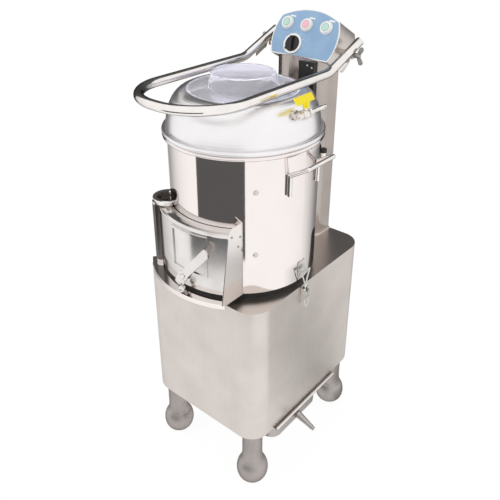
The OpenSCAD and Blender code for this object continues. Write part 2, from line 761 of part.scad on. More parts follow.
// screw through the guard's tab into the boss, with two wings clear of the guard tube
module wing_screw() {
    head_x = guard_x + tab_t / 2 + fit;
    wing_x = guard_x + tube_r + 4;
    translate([0, pivot_y, pivot_z]) rotate([0, 90, 0]) {
        translate([0, 0, screw_x0]) cylinder(h = wing_x - screw_x0, r = pivot_bolt_r);
        translate([0, 0, head_x]) cylinder(h = 2, r = boss_r - 3);
        translate([0, 0, head_x + 1]) cylinder(h = wing_x - head_x + 3, r = 7);
    }
    for (s = [-1, 1]) translate([wing_x, pivot_y, pivot_z + s * 4]) rotate([0, s * -62, 0]) hull() {
        for (x = [2, 16]) translate([x, 1.75, 0]) rotate([90, 0, 0]) cylinder(h = 3.5, r = 5 + x / 8, $fn = 24);
    }
}

module wing_screw_right() color("#c9c6c2") wing_screw();

module wing_screw_left() color("#c9c6c2") mirror([1, 0, 0]) wing_screw();

// Column and what stands on it

module column() color("#b1a9a3") difference() {
    translate([0, 0, cab_top]) linear_extrude(box_z - cab_top + 60) column_outline(0);
    above_box(fit);
    difference() {
        translate([0, 0, cab_top - 1]) linear_extrude(box_z - cab_top + 60) column_outline(-col_t);
        above_box(fit + col_t);
    }
    tilted() translate([0, 40, -20]) cylinder(h = 30, r = wire_hole_r);
}

module column_weld() color("#dedbd7") translate([0, 0, cab_top + 0.1]) linear_extrude(4) difference() {
    column_outline(4.5);
    column_outline(0.1);
    translate([-2 * col_a, cab_back]) square(4 * col_a);
}

module pipe_stub() color("#c4bfba") difference() {
    union() {
        bar([stub_x, stub_y, stub_z - 24], [stub_x, stub_y, stub_z], 9);
        elbow([stub_x, stub_y, stub_z - 24], 9);
        bar([stub_x, stub_y, stub_z - 24], [col_a - 24, stub_y + 14, stub_z - 24], 9);
    }
    translate([0, 0, cab_top]) linear_extrude(box_z - cab_top) column_outline(0.15);
}

module stub_cap() color("#1b1b1b") translate([stub_x, stub_y, stub_z + 0.1]) {
    cylinder(h = 10, r = 11);
    translate([0, 0, 10]) cylinder(h = 2.5, r1 = 11, r2 = 8);
}

module safety_switch() color("#2a2b29") difference() {
    translate([switch_x0, switch_y, switch_z0]) cube([switch_x1 - switch_x0, 40, switch_z1 - switch_z0]);
    translate([0, 0, cab_top]) linear_extrude(box_z - cab_top) column_outline(fit);
    translate([-2 * col_a, col_mid + 4, switch_z0 - 1]) cube([4 * col_a, col_b, switch_z1 - switch_z0 + 2]);
}

// Control box and what is on its panel

module control_box() color("#b4ada7") tilted() difference() {
    panel_prism(0, box_depth, 0);
    panel_prism(-1, box_depth - box_t, box_t);
    translate([0, 40, -5]) cylinder(h = 10, r = wire_hole_r);
}

module control_panel() color("#8fb4d2") difference() {
    tilted() panel_prism(-panel_t - fit, -fit, trim_w + 0.1);
    for (x = [-1, 0, 1] * button_pitch) on_panel(x + button_x0, button_up) translate([0, 0, -10])
        cylinder(h = 20, r = neck_r + fit);
    on_panel(knob_x, knob_up) translate([0, 0, -10]) cylinder(h = 20, r = knob_shaft_r + 2);
}

module panel_trim() color("#f4f4f4") tilted() difference() {
    panel_prism(-panel_t - fit - 0.5, -fit, 0);
    panel_prism(-panel_t - 5, 5, trim_w);
}

module button_bezels() color("#f2f3f1")
    for (x = [-1, 0, 1] * button_pitch) on_panel(x + button_x0, button_up) rotate_extrude() {
        polygon([[button_r + 0.6, 0.1], [bezel_r, 0.1], [bezel_r, 3], [bezel_r - 4, bezel_h], [button_r + 2, bezel_h],
            [button_r + 0.6, bezel_h - 1.5]]);
        translate([7.5, -26]) square([neck_r - 7.5, 26.1 + 1]);
        translate([7.5, 0.1]) square([button_r - 6, 1]);
    }

module button() {
    cylinder(h = 3, r = button_r);
    translate([0, 0, 3]) cylinder(h = 1.6, r1 = button_r, r2 = button_r - 2.5);
    translate([0, 0, -18]) cylinder(h = 19, r = 6.5);
}

module button_at(i) {
    on_panel(i * button_pitch + button_x0, button_up) translate([0, 0, 1.1 + fit + button_travel]) button();
}

module start_button() color("#a9d8c4") button_at(-1);

module stop_button() color("#f0a8b4") button_at(0);

module run_button() color("#a9d8c4") button_at(1);

module dial_ring() color("#f5f5f3") on_panel(knob_x, knob_up) tube(dial_r, knob_r + 0.6, 0.1, 4.1);

module timer_knob() color("#232323") on_panel(knob_x, knob_up) {
    translate([0, 0, 1]) cylinder(h = 5, r = knob_r);
    translate([0, 0, 6]) cylinder(h = 1.5, r1 = knob_r, r2 = knob_r - 2);
    rotate(12) translate([-4, 3 - knob_r, 5]) cube([8, 2 * knob_r - 6, 10]);
    rotate(222) translate([knob_r - 4, -3, 4.6]) cube([7, 6, 2.2]);
    translate([0, 0, -24]) cylinder(h = 26, r = knob_shaft_r);
}

module timer_unit() color("#e2ddcf") on_panel(knob_x, knob_up) difference() {
    union() {
        translate([-26, -24, -panel_t - 44]) cube([52, 48, 40]);
        translate([0, 0, -panel_t - 5]) cylinder(h = 5 - fit, r = 12);
    }
    translate([0, 0, -28]) cylinder(h = 40, r = knob_shaft_r + run);
}

// Latches on both sides

module both_sides() {
    children();
    mirror([1, 0, 0]) children();
}

module latch_catches() color("#cfccc8") both_sides() {
    translate([drum_r + fit, -16, bail_top - 18]) cube([2, 32, 46]);
    translate([drum_r + fit, -13, bail_top - wire_r - fit - 3]) cube([latch_x - drum_r + 1.5, 26, 3]);
}

module latch_bases() color("#cfccc8") both_sides() {
    translate([cab_x + fit, -12, latch_pz - 44]) cube([2, 24, 50]);
    for (s = [-1, 1]) {
        translate([cab_x + fit, s * 7.25 - 1.25, latch_pz - 5]) cube([latch_x - cab_x - fit, 2.5, 10]);
        translate([latch_x, s * 7.25 + 1.25, latch_pz]) rotate([90, 0, 0]) cylinder(h = 2.5, r = 5);
        translate([latch_x, s > 0 ? 6 : -latch_half, latch_pz]) rotate([-90, 0, 0]) cylinder(h = latch_half - 6, r = lever_pin_r);
    }
}

module latch_lever() {
    difference() {
        union() {
            for (s = [-1, 1]) translate([latch_x, s * 10 + 1, latch_pz]) rotate([90, 0, 0]) linear_extrude(2)
                polygon([[-5, 3], [-2, 6], [2, 6], [7.5, 1], [7.5, -28], [3, -28], [-5, -18]]);
            translate([latch_x + 6, -latch_half, latch_pz - 28]) cube([1.5, 2 * latch_half, 26]);
            translate([latch_x, -10, latch_pz - latch_e]) rotate([-90, 0, 0]) cylinder(h = 20, r = lever_pin_r);
        }
        // slot in the front plate for the bail's stem as the lever swings up
        translate([latch_x + 5, -5.6, latch_pz - latch_e - 8]) cube([4, 11.2, 40]);
        translate([latch_x, -20, latch_pz]) rotate([-90, 0, 0]) cylinder(h = 40, r = lever_pin_r + run);
    }
    pull = [[latch_x + 6, 8, latch_pz - 26], [latch_x + 6, 9, latch_pz - 44], [latch_x + 6, 0, latch_pz - 58]];
    for (s = [-1, 1]) {
        a = [pull[0][0], s * pull[0][1], pull[0][2]];
        b = [pull[1][0], s * pull[1][1], pull[1][2]];
        bar(a, b, wire_r - 0.6);
        elbow(b, wire_r - 0.6);
        bar(b, pull[2], wire_r - 0.6);
    }
    elbow(pull[2], wire_r - 0.6);
}

module latch_lever_right() color("#d2cfcb") latch_lever();

module latch_lever_left() color("#d2cfcb") mirror([1, 0, 0]) latch_lever();

module latch_bail() {
    neck = [latch_x, 0, bail_top - 42];
    for (s = [-1, 1]) {
        corner = [latch_x, s * bail_half, bail_top];
        bar([latch_x, 0, bail_top], corner, wire_r);
        elbow(corner, wire_r);
        bar(corner, neck + [0, s * 2, 0], wire_r);
    }
    translate([latch_x, 0, bail_top - 52]) cylinder(h = 13, r = 5, $fn = 6);
    difference() {
        union() {
            bar([latch_x, 0, latch_pz - latch_e], neck, wire_r);
            translate([latch_x, -4, latch_pz - latch_e]) rotate([-90, 0, 0]) cylinder(h = 8, r = 5);
        }
        translate([latch_x, -10, latch_pz - latch_e]) rotate([-90, 0, 0]) cylinder(h = 20, r = lever_pin_r + run);
    }
}

module latch_bail_right() color("#d8d6d3") latch_bail();

module latch_bail_left() color("#d8d6d3") mirror([1, 0, 0]) latch_bail();

// Peel drawer

module peel_drawer() color("#c0bab5") {
    difference() {
        union() {
            translate([0, 0, pan_top - pan_h + pan_t + seam]) linear_extrude(pan_h - pan_t - seam)
                round_rect(pan_x0, pan_y0, pan_x1, pan_y1, pan_r);
            translate([pan_x0 + pan_r, pan_y0 - pan_wing, pan_top - pan_t])
                cube([pan_len - 2 * pan_r, pan_w + 2 * pan_wing, pan_t]);
            translate([pan_x1 - 8, lip_y0, pan_top - lip_t]) cube([cab_x + lip_out - pan_x1 + 8, lip_y1 - lip_y0, lip_t]);
        }
        translate([0, 0, pan_top - pan_h - 1]) linear_extrude(pan_h + 2)
            round_rect(pan_x0 + pan_t, pan_y0 + pan_t, pan_x1 - pan_t, pan_y1 - pan_t, pan_r - pan_t);
    }
    // floor sheet, welded on under the walls
    translate([0, 0, pan_top - pan_h]) linear_extrude(pan_t) round_rect(pan_x0, pan_y0, pan_x1, pan_y1, pan_r);
    // strip inside each end that the strainer rests on
    for (x = [pan_x0 + 1, pan_x1 - 1 - strip_w]) translate([x, pan_y0 + pan_r, strainer_z - fit - pan_t])
        cube([strip_w, pan_w - 2 * pan_r, pan_t]);
    translate([pan_x1, pull_y, pull_z]) {
        rotate([0, 90, 0]) cylinder(h = 5, r = pull_r0 + 1);
        rotate([0, 90 + pull_drop, 0]) cylinder(h = pull_len + 10, r1 = pull_r0, r2 = pull_r1);
        rotate([0, 90 + pull_drop, 0]) translate([0, 0, pull_len - 3]) cylinder(h = 4, r = pull_r1 + 1.6);
    }
}

module strainer() color("#b9b5b0") difference() {
    inset = pan_t + 1;
    translate([0, 0, strainer_z]) linear_extrude(1.5)
        round_rect(pan_x0 + inset, pan_y0 + inset, pan_x1 - inset, pan_y1 - inset - lift_gap, pan_r - inset);
    for (i = [0:9], j = [0:5])
        translate([pan_x0 + pan_len * (i + 0.5 + 0.25) / 10.5, pan_y0 + (pan_w - lift_gap) * (j + 0.5) / 6,
                   strainer_z - 1])
            cylinder(h = 4, r = 8);
}

module drawer_rails() color("#8e8984") {
    rail_len = pan_len - 2 * pan_r - 10;
    for (s = [-1, 1]) {
        edge = s < 0 ? pan_y0 - pan_wing : pan_y1 + pan_wing;
        translate([pan_x0 + pan_r, s < 0 ? edge - 2 : edge + 0.5, pan_top - pan_t - 3])
            cube([rail_len, 1.5, cab_z0 - base_t - pan_top + pan_t + 3]);
        translate([pan_x0 + pan_r, s < 0 ? edge - 2 : edge - 3.5, pan_top - pan_t - 3]) cube([rail_len, 5.5, 2.7]);
    }
}

// Drive

module bearing_housing() color("#6d6f72") difference() {
    union() {
        translate([0, 0, pulley_z + pulley_h + 10])
            cylinder(h = floor_z + floor_t + 3 - pulley_z - pulley_h - 10, r = housing_r);
        translate([0, 0, cab_top - sheet - fit - 8]) cylinder(h = 8, r = housing_r + 26);
    }
    translate([0, 0, pulley_z]) cylinder(h = floor_z - pulley_z + 40, r = shaft_r + run);
}

module main_shaft() color("#9a9da0") {
    translate([0, 0, pulley_z - 5]) cylinder(h = disc_z + disc_t + 8 - pulley_z + 5, r = shaft_r);
    translate([0, 0, disc_z + disc_t + 6 + fit]) {
        cylinder(h = 9, r = shaft_r + 8, $fn = 6);
        translate([0, 0, 9]) cylinder(h = 8, r1 = shaft_r + 4, r2 = shaft_r - 6);
    }
}

module peeling_disc() color("#57534e") difference() {
    union() {
        translate([0, 0, disc_z]) cylinder(h = disc_t, r = disc_r);
        translate([0, 0, disc_z]) cylinder(h = disc_t + 6, r = shaft_r + 20);
        intersection() {
            translate([0, 0, disc_z + eps]) cylinder(h = disc_t + wave_h + 1, r = disc_r - 1);
            for (a = [0, 120, 240]) rotate([0, 0, a]) translate([30, 0, disc_z + disc_t + wave_h - 22])
                rotate([0, 90, 0]) cylinder(h = disc_r, r = 22);
        }
    }
    translate([0, 0, disc_z - 1]) cylinder(h = disc_t + wave_h + 20, r = shaft_r + 0.02);
}

module pulley(r, hub_r, bore_r) {
    mid = pulley_z + pulley_h / 2;
    rotate_extrude() polygon([[bore_r, pulley_z], [hub_r, pulley_z], [hub_r, mid - 8], [r - groove_d - 6, mid - 8],
        [r - groove_d - 6, mid - 11], [r, mid - 11], [r, mid - 8.5], [r - groove_d, mid - belt_w / 2 - 1],
        [r - groove_d, mid + belt_w / 2 + 1], [r, mid + 8.5], [r, mid + 11], [r - groove_d - 6, mid + 11],
        [r - groove_d - 6, mid + 8], [hub_r, mid + 8], [hub_r, pulley_z + pulley_h], [bore_r, pulley_z + pulley_h]]);
}

module disc_pulley() color("#777a7d") pulley(pulley_r, shaft_r + 12, shaft_r + 0.02);

module motor_pulley() color("#85888b") translate([0, belt_centres, 0]) {
    pulley(motor_pulley_r, motor_pulley_r - 18, 0);
    translate([0, 0, pulley_z - motor_shaft_in]) cylinder(h = pulley_h + motor_shaft_in + 5, r = motor_shaft_r);
}

module motor() color("#4f5a63") translate([0, belt_centres, pulley_z - 15 - motor_h]) difference() {
    union() {
        cylinder(h = motor_h, r = motor_r - 6);
        translate([0, 0, motor_end]) cylinder(h = motor_h - 2 * motor_end, r = motor_r);
        translate([motor_r - 12, -motor_box_w / 2, (motor_h - motor_box_h) / 2]) cube([30, motor_box_w, motor_box_h]);
    }
    translate([0, 0, motor_h + 15 - 2 * motor_shaft_in]) cylinder(h = 2 * motor_shaft_in, r = motor_shaft_r + run);
}

module motor_mount() color("#7b7873") {
    plate_z = pulley_z - 15 + fit;
    difference() {
        translate([-hanger_x - 2 * hanger_r, belt_centres - motor_r - mount_rim, plate_z])
            cube([2 * hanger_x + 4 * hanger_r, 2 * (motor_r + mount_rim), mount_t]);
        translate([0, belt_centres, plate_z - 1]) cylinder(h = mount_t + 2, r = 16);
    }
    for (x = [-hanger_x, hanger_x], y = [belt_centres - motor_r + 10, belt_centres + motor_r - 10])
        translate([x, y, plate_z + mount_t - eps]) cylinder(h = cab_top - sheet - fit - plate_z - mount_t, r = hanger_r);
}

module belt_loop(out) {
    hull() {
        circle(pulley_r - groove_d + fit + out);
        translate([0, belt_centres]) circle(motor_pulley_r - groove_d + fit + out);
    }
}

module drive_belt() color("#1e1e1e") translate([0, 0, pulley_z + pulley_h / 2 - belt_w / 2])
    linear_extrude(belt_w) difference() {
        belt_loop(belt_t);
        belt_loop(0);
    }

module place() {
    translate([shift_x, shift_y, 0]) children();
}

place() cabinet_shell();
place() base_plate();
place() feet();
place() seat_ring();
place() service_cover();
place() dome_bolts();
place() mains_gland();
place() drum_shell();
place() drum_floor();
place() grit_liner();
place() drum_handle_left();
place() drum_handle_right();
place() drain_pipe();
place() chute_cheek();
place() chute_ledge();
place() hinge_pin();
place() column();
place() column_weld();
place() pipe_stub();
place() stub_cap();
place() safety_switch();
place() control_box();
place() control_panel();
place() panel_trim();
place() button_bezels();
place() dial_ring();
place() timer_unit();
place() guard_bosses();
place() latch_catches();
place() latch_bases();
place() drawer_rails();
place() bearing_housing();
place() motor();
place() motor_mount();
place() drive_belt();
place() peeling_disc();
place() main_shaft();
place() disc_pulley();
place() motor_pulley();
place() door_panel();
place() door_seal();
place() door_lever();
place() lid_dome();
place() lid_window();
place() lid_gasket();
place() water_valve();
place() valve_lever();
place() guard_loop();
place() wing_screw_left();
place() wing_screw_right();
place() start_button();
place() stop_button();
place() run_button();
place() timer_knob();
place() latch_lever_left();
place() latch_lever_right();
place() latch_bail_left();
place() latch_bail_right();
place() peel_drawer();
place() strainer();
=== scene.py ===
"""Looks of a floor-standing electric potato peeler: polished drum, brushed cabinet, guard and control box."""
import math

import bmesh
import bpy
from mathutils import Matrix, Vector


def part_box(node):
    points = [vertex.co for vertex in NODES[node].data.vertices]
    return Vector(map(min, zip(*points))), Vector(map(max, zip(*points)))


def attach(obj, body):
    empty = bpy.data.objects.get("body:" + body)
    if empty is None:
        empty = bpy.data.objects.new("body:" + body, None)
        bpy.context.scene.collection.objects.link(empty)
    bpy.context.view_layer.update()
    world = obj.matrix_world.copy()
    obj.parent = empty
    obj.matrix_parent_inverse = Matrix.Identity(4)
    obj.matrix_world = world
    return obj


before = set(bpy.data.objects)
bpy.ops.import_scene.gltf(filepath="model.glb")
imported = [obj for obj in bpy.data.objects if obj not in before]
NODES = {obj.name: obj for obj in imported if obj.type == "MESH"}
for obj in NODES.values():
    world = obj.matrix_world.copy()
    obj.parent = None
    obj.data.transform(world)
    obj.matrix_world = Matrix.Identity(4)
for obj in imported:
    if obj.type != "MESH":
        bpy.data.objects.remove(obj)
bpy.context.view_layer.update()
MM = 0.001

# The drum's axis, from the CAD drum floor: the machine's own centre line
_low, _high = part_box("drum_floor")
AXIS = Vector(((_low.x + _high.x) / 2, (_low.y + _high.y) / 2, 0))


def place(x, y, z):
    """A point given in millimetres from the drum's axis and the floor."""
    return AXIS + Vector((x, y, z)) * MM


# Camera: its place from the drum's axis, its heading and its lens, fitted to the photograph
CAMERA_FROM_AXIS = (1012.4, -1194.1, 1651.1)
CAMERA_AZIMUTH = 39.658
CAMERA_DOWN = 26.685
CAMERA_LENS = 43.81
CAMERA_SHIFT_Y = -0.10
SENSOR_WIDTH = 36

# The control panel: its slope, the lower edge of the box that it stands on, and its face in front of that box
PANEL_TILT = math.radians(28.1)
PANEL_FOOT = (247, 1230)
PANEL_FACE = 2.8
# The three buttons' places across the panel and their height up it, and the timer dial's middle
BUTTONS_X = (-71, -4, 63)
BUTTONS_UP = 94
DIAL_MIDDLE = (-32, 35)

# The door's hinge, from the drum's axis: direction and distance of its barrel, and of the collar above it
HINGE_ANGLE, HINGE_REACH, HINGE_FOOT = math.radians(-130), 244, 700
COLLAR_ANGLE, COLLAR_REACH, COLLAR_HEIGHT = math.radians(-127), 217, 18.5
DRUM_RADIUS = 208

# Screws: the face they stand on, and their places on it
SWITCH_FACE_Y, SWITCH_SCREWS = 229, ((44, 1217), (59, 1212))
CHEEK_FACE_X, CHEEK_SCREWS = 133.2, ((-205, 880), (-180, 842), (-172, 868))

# Studio: the floor's own colour, the white that it shows, and the light of the sky on the object
FLOOR_SIZE = 40
FLOOR_COLOUR = 0.9
FLOOR_WHITE = 1.04
FLOOR_WHITE_SHARE = 0.9
SKY_LIGHT = 0.75


def make_camera():
    data = bpy.data.cameras.new("camera")
    data.lens = CAMERA_LENS
    data.sensor_width = SENSOR_WIDTH
    data.shift_y = CAMERA_SHIFT_Y
    cam = bpy.data.objects.new("camera", data)
    bpy.context.scene.collection.objects.link(cam)
    cam.location = place(*CAMERA_FROM_AXIS)
    cam.rotation_euler = (math.radians(90 - CAMERA_DOWN), 0, math.radians(CAMERA_AZIMUTH))
    bpy.context.scene.camera = cam


def linear(hex_colour):
    """sRGB hex to linear RGBA."""
    parts = [int(hex_colour[i:i + 2], 16) / 255 for i in (1, 3, 5)]
    return tuple(c / 12.92 if c <= 0.04045 else ((c + 0.055) / 1.055) ** 2.4 for c in parts) + (1,)


def node(tree, kind, inputs=None, **settings):
    """Adds a node with its settings. A socket given as an input is linked, anything else is set."""
    made = tree.nodes.new(kind)
    for key, value in settings.items():
        setattr(made, key, value)
    for key, value in (inputs or {}).items():
        if isinstance(value, bpy.types.NodeSocket):
            tree.links.new(value, made.inputs[key])
        else:
            made.inputs[key].default_value = value
    return made


def new_material(name):
    """An empty material with its Principled shader."""
    mat = bpy.data.materials.new(name)
    mat.use_nodes = True
    tree = mat.node_tree
    tree.nodes.clear()
    shader = tree.nodes.new("ShaderNodeBsdfPrincipled")
    out = tree.nodes.new("ShaderNodeOutputMaterial")
    tree.links.new(shader.outputs["BSDF"], out.inputs["Surface"])
    return mat, tree, shader


def grey(value):
    """A grey of the given linear value."""
    return (value, value, value, 1)


def grain(tree, size_mm, detail=2.0):
    """Noise in object space whose feature size is given in millimetres along X, Y and Z."""
    coords = node(tree, "ShaderNodeTexCoord").outputs["Object"]
    scale = tuple(1 / (s * MM) for s in size_mm)
    mapped = node(tree, "ShaderNodeMapping", {"Vector": coords, "Scale": scale}).outputs["Vector"]
    noise = node(tree, "ShaderNodeTexNoise", {"Vector": mapped, "Scale": 1.0, "Detail": detail})
    return noise.outputs["Fac"]


def worn(tree, clouds, tone, tone_worn):
    """Colour of a surface that drifts between its fresh and its worn tone with soft clouds of noise."""
    share = node(tree, "ShaderNodeMapRange", {"Value": clouds, "From Min": 0.3, "From Max": 0.7})
    # sockets 6 and 7 of the mix are its two colours, and 2 is the colour that comes out
    mixed = node(tree, "ShaderNodeMix", {0: share.outputs["Result"], 6: linear(tone_worn), 7: linear(tone)},
                 data_type="RGBA")
    return mixed.outputs[2]


def metal(name, tone, tone_worn, roughness, streak_mm, wave_mm, wave_depth_mm, line_depth_mm, spread=0.06,
          edge=1.0):
    """Stainless or plated metal.

    Streaks are the lines that its finishing left, and the wave is the sheet's own unevenness. Spread is how
    much the roughness varies with the lines, and edge is the metal's tint at a grazing angle: set below 1, it
    darkens the outline as a painted reflection of dark surroundings.
    """
    mat, tree, shader = new_material(name)
    lines = grain(tree, streak_mm, 3.0)
    clouds = grain(tree, (wave_mm,) * 3)
    shader.inputs["Metallic"].default_value = 1.0
    # below 1 this dims the grazing reflection: a painted dark reflection round the outline
    shader.inputs["Specular Tint"].default_value = grey(edge)
    tree.links.new(worn(tree, clouds, tone, tone_worn), shader.inputs["Base Color"])
    rough = node(tree, "ShaderNodeMapRange", {"Value": lines, "From Min": 0.3, "From Max": 0.7,
                                              "To Min": roughness - spread / 2, "To Max": roughness + spread})
    tree.links.new(rough.outputs["Result"], shader.inputs["Roughness"])
    wave = node(tree, "ShaderNodeBump", {"Height": clouds, "Distance": wave_depth_mm * MM})
    fine = node(tree, "ShaderNodeBump", {"Height": lines, "Distance": line_depth_mm * MM,
                                         "Normal": wave.outputs["Normal"]})
    tree.links.new(fine.outputs["Normal"], shader.inputs["Normal"])
    return mat


def plastic(name, tone, tone_worn, roughness, grain_mm=0.8, depth_mm=0.02, coat=0.0):
    """Moulded plastic, rubber or paint with the fine texture of its mould or spray."""
    mat, tree, shader = new_material(name)
    texture = grain(tree, (grain_mm,) * 3, 3.0)
    clouds = grain(tree, (40,) * 3)
    tree.links.new(worn(tree, clouds, tone, tone_worn), shader.inputs["Base Color"])
    rough = node(tree, "ShaderNodeMapRange", {"Value": texture, "To Min": roughness * 0.85,
                                              "To Max": roughness * 1.15})
    tree.links.new(rough.outputs["Result"], shader.inputs["Roughness"])
    relief = node(tree, "ShaderNodeBump", {"Height": texture, "Distance": depth_mm * MM})
    tree.links.new(relief.outputs["Normal"], shader.inputs["Normal"])
    shader.inputs["Coat Weight"].default_value = coat
    return mat


def clear_moulding(name, tone, roughness, clearness):
    """Clear moulded plastic, a little milky: faint tint, slight ripples from the mould, and a faint painted
    glow.
    """
    mat, tree, shader = new_material(name)
    ripples = node(tree, "ShaderNodeBump", {"Height": grain(tree, (30,) * 3, 1.0), "Distance": 0.3 * MM})
    shader.inputs["Base Color"].default_value = linear(tone)
    shader.inputs["Transmission Weight"].default_value = clearness
    shader.inputs["IOR"].default_value = 1.49
    shader.inputs["Roughness"].default_value = roughness
    # a faint painted glow in its own tone, which brightens the window as painted light
    shader.inputs["Emission Color"].default_value = linear(tone)
    shader.inputs["Emission Strength"].default_value = 0.1
    tree.links.new(ripples.outputs["Normal"], shader.inputs["Normal"])
    return mat


# Stainless sheet, brushed along its length: soft reflection drawn out across the grain
BRUSHED = metal("brushed_stainless_sheet", "#DFD7D1", "#D6CEC8", 0.3, (1.2, 1.2, 180), 90, 0.01, 0.004,
                edge=0.75)
# The column's tube, brushed and then buffed: the sheet's stainless, toned darker than the sheet as painted
# shade
COLUMN = metal("buffed_stainless_column_painted_shade", "#BDB4AE", "#B2A9A3", 0.2, (1.5, 1.5, 220), 90, 0.01, 0.003,
               edge=0.5)
# The drawer's pan, pickled after welding and left dull
PAN = metal("pickled_stainless_pan", "#BEB8B4", "#B2ACA8", 0.3, (60, 60, 60), 60, 0.02, 0.002,
            spread=0.05, edge=0.6)
# Bare sheet with its bright mill finish, on the side of the chute
BRIGHT = metal("bright_rolled_sheet", "#F0EAE6", "#EAE4E0", 0.14, (2, 60, 2), 80, 0.02, 0.002,
               spread=0.04, edge=0.8)
# Stainless sheet polished to a mirror: sharp reflection, the drum's rolled sheet waves a little
MIRROR = metal("mirror_polished_stainless", "#F7F0ED", "#F4ECE9", 0.06, (160, 160, 1.5), 120, 0.02, 0.001,
               spread=0.02, edge=0.35)
# Spun dome with a satin polish and faint rings
SPUN = metal("spun_satin_stainless", "#FAF8F9", "#F4F2F3", 0.3, (90, 90, 1.2), 120, 0.03, 0.002,
             spread=0.05, edge=0.75)
# Tube and bar, polished after bending: a sharp dark line along the upper side, bright below it
TUBE = metal("polished_stainless_tube", "#F8F4F1", "#EFEAE6", 0.12, (3, 60, 3), 50, 0.01, 0.001,
             spread=0.03, edge=0.25)
# Cast aluminium door, polished by hand: bright, with soft edges to what it reflects
CAST = metal("polished_cast_aluminium", "#F0ECEA", "#E4E0DD", 0.17, (40, 40, 60), 70, 0.02, 0.002,
             spread=0.03, edge=0.5)
# Cast feet, tumbled and plated: grey and satin, their darker outline a painted reflection from the low edge
# tint
FOOT = metal("plated_cast_feet", "#BDB6B2", "#B0A9A5", 0.48, (4, 4, 30), 50, 0.01, 0.003,
             spread=0.04, edge=0.1)
# Bent spring wire and zinc plated small parts: bright, a little uneven
WIRE = metal("zinc_plated_steel_wire", "#E4E2DF", "#D2CFCB", 0.16, (2, 2, 12), 20, 0.02, 0.004, spread=0.08)
# Dark sleeve over the door's hinge barrel, a painted dark reflection, and the rough inside of the collar
# above it, darkened as painted shade
SLEEVE = metal("painted_dark_reflection_sleeve", "#7B7774", "#6C6865", 0.22, (2, 2, 90), 60, 0.01, 0.002,
               spread=0.05, edge=0.5)
BORE = metal("rough_cast_bore_in_painted_shade", "#6A615B", "#4A433F", 0.55, (4, 4, 4), 8, 0.6, 0.3, spread=0.1, edge=0.6)
# Turned steel of shaft and screws, and the grey cast iron inside the cabinet
STEEL = metal("turned_steel", "#B9B7B4", "#A5A29F", 0.3, (30, 30, 0.8), 40, 0.02, 0.01, spread=0.1)
IRON = metal("grey_cast_iron", "#6E6D6C", "#595857", 0.55, (3, 3, 3), 20, 0.05, 0.08, spread=0.2)
# Nickel plated brass of the valve: bright, with the warm tone of the brass where it is thin
NICKEL = metal("nickel_plated_brass", "#F2EFEC", "#E2DCD4", 0.14, (3, 3, 3), 20, 0.02, 0.01, spread=0.08)
# Abrasive grit bonded in resin: dark, coarse, 1.5 mm grains
GRIT = plastic("resin_bonded_grit", "#5C5852", "#3F3C38", 0.9, 1.5, 0.7)
# Moulded rubber and plastics: the fine texture of the mould, matt on rubber and softly glossy on ABS
RUBBER = plastic("moulded_black_rubber", "#262524", "#1C1B1B", 0.65, 0.6, 0.03)
BLACK = plastic("moulded_black_abs", "#1E1E1E", "#171717", 0.42, 0.5, 0.02)
WHITE = plastic("moulded_white_abs", "#F6F6F4", "#EFEFEC", 0.25, 0.6, 0.005, 0.2)
IVORY = plastic("moulded_ivory_nylon", "#E2DCCB", "#D6CFBC", 0.45)
PIPE = plastic("extruded_grey_pvc", "#8B8E90", "#7C7F81", 0.4)
# Printed sheet of the panel, and the pale lens caps of the buttons, which are glossy as moulded
PANEL = plastic("blue_printed_sheet", "#93B3D2", "#89ABCC", 0.38, 0.5, 0.004, 0.15)
GREEN = plastic("pale_green_lens", "#BFE2D6", "#B2DACB", 0.18, 1.2, 0.004, 0.6)
RED = plastic("pale_red_lens", "#F9C3CF", "#F5B6C5", 0.18, 1.2, 0.004, 0.6)
# The valve's lever, dipped in vinyl: saturated and rounded over. The motor's sprayed enamel
YELLOW = plastic("dipped_yellow_vinyl", "#FFEC06", "#FBE204", 0.35, 1.0, 0.01)
ENAMEL = plastic("grey_blue_enamel", "#56626C", "#4B565F", 0.4)
# The lid's window, moulded of clear polycarbonate, with a faint painted glow
CLEAR = clear_moulding("clear_polycarbonate", "#F6F5FD", 0.04, 0.84)

FINISHES = {
    BRUSHED: "cabinet_shell base_plate service_cover control_box guard_bosses drum_floor drawer_rails "
             "strainer motor_mount",
    PAN: "peel_drawer",
    COLUMN: "column",
    BRIGHT: "chute_cheek",
    MIRROR: "drum_shell chute_ledge column_weld",
    SPUN: "lid_dome",
    TUBE: "guard_loop drum_handle_left drum_handle_right pipe_stub hinge_pin",
    CAST: "door_panel door_lever",
    FOOT: "feet",
    WIRE: "latch_catches latch_bases latch_lever_left latch_lever_right latch_bail_left latch_bail_right "
          "dome_bolts",
    STEEL: "main_shaft wing_screw_left wing_screw_right",
    IRON: "bearing_housing disc_pulley motor_pulley",
    NICKEL: "water_valve",
    GRIT: "grit_liner peeling_disc",
    RUBBER: "seat_ring door_seal lid_gasket drive_belt",
    BLACK: "mains_gland stub_cap safety_switch timer_knob",
    WHITE: "panel_trim button_bezels dial_ring",
    IVORY: "timer_unit",
    PIPE: "drain_pipe",
    PANEL: "control_panel",
    GREEN: "start_button run_button",
    RED: "stop_button",
    YELLOW: "valve_lever",
    ENAMEL: "motor",
    CLEAR: "lid_window",
}


def dress_nodes():
    """Gives each CAD node its finish."""
    for mat, names in FINISHES.items():
        for name in names.split():
            mesh = NODES[name].data
            mesh.materials.clear()
            mesh.materials.append(mat)


def solid(name, mesh_maker, matrix, mat, body="root"):
    """A small piece of the scene, made in its own frame and set in place by a matrix in metres."""
    bm = bmesh.new()
    mesh_maker(bm)
    mesh = bpy.data.meshes.new(name)
    bm.to_mesh(mesh)
    bm.free()
    mesh.materials.append(mat)
    obj = bpy.data.objects.new(name, mesh)
    bpy.context.scene.collection.objects.link(obj)
    obj.matrix_world = matrix
    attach(obj, body)


